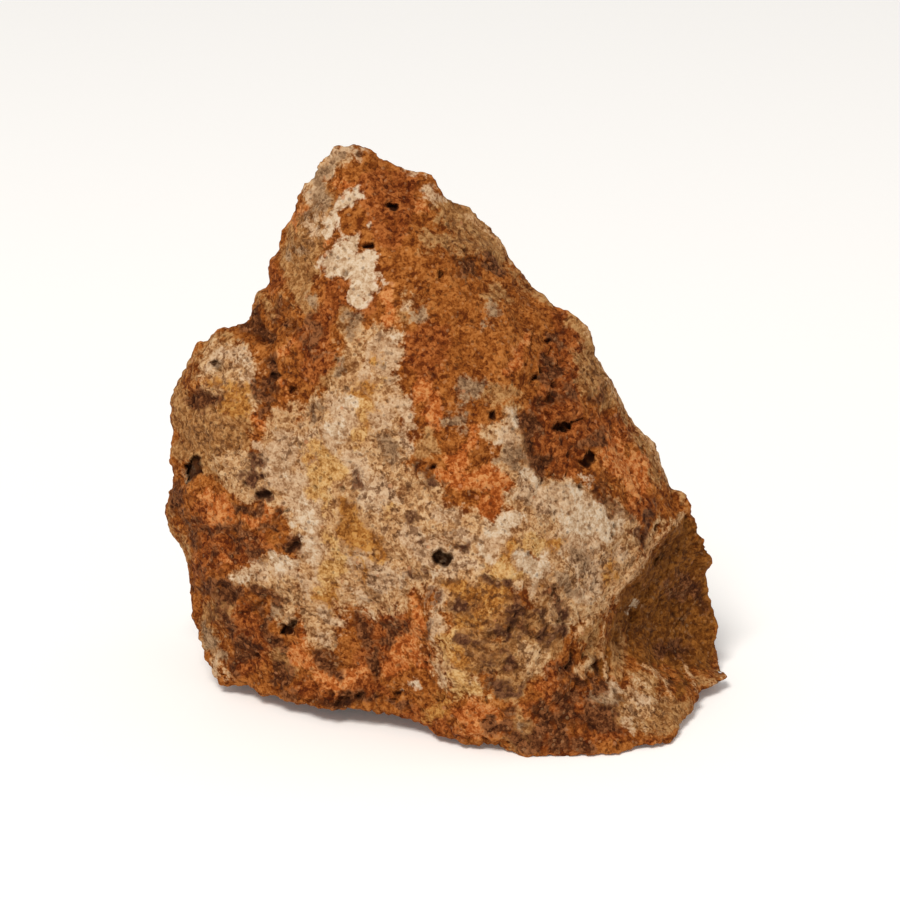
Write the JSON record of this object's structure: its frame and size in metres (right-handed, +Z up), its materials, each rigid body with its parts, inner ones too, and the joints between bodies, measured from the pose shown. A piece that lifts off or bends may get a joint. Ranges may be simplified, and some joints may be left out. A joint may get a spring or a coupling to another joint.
{
  "type": "rhyolite tuff specimen",
  "caption": "Hand-sized broken block of weathered rhyolite tuff, rust, ochre and cream, standing upright on a flat break, with a hollow flake scar low on one side.",
  "frame": {"origin": "middle of the bounding box, on the plane of the flat break that the stone stands on", "axes": "+X to the right across the show side, +Y back from the show side, +Z up"},
  "size_m": [0.1156, 0.0784, 0.1134],
  "materials": {
    "tuff": "matt, coarse broken tuff: rust-red and ochre stains over a cream ash ground, with small pits and pale clasts"
  },
  "bodies": {
    "root": {"tuff_block": "tuff"}
  },
  "joints": []
}
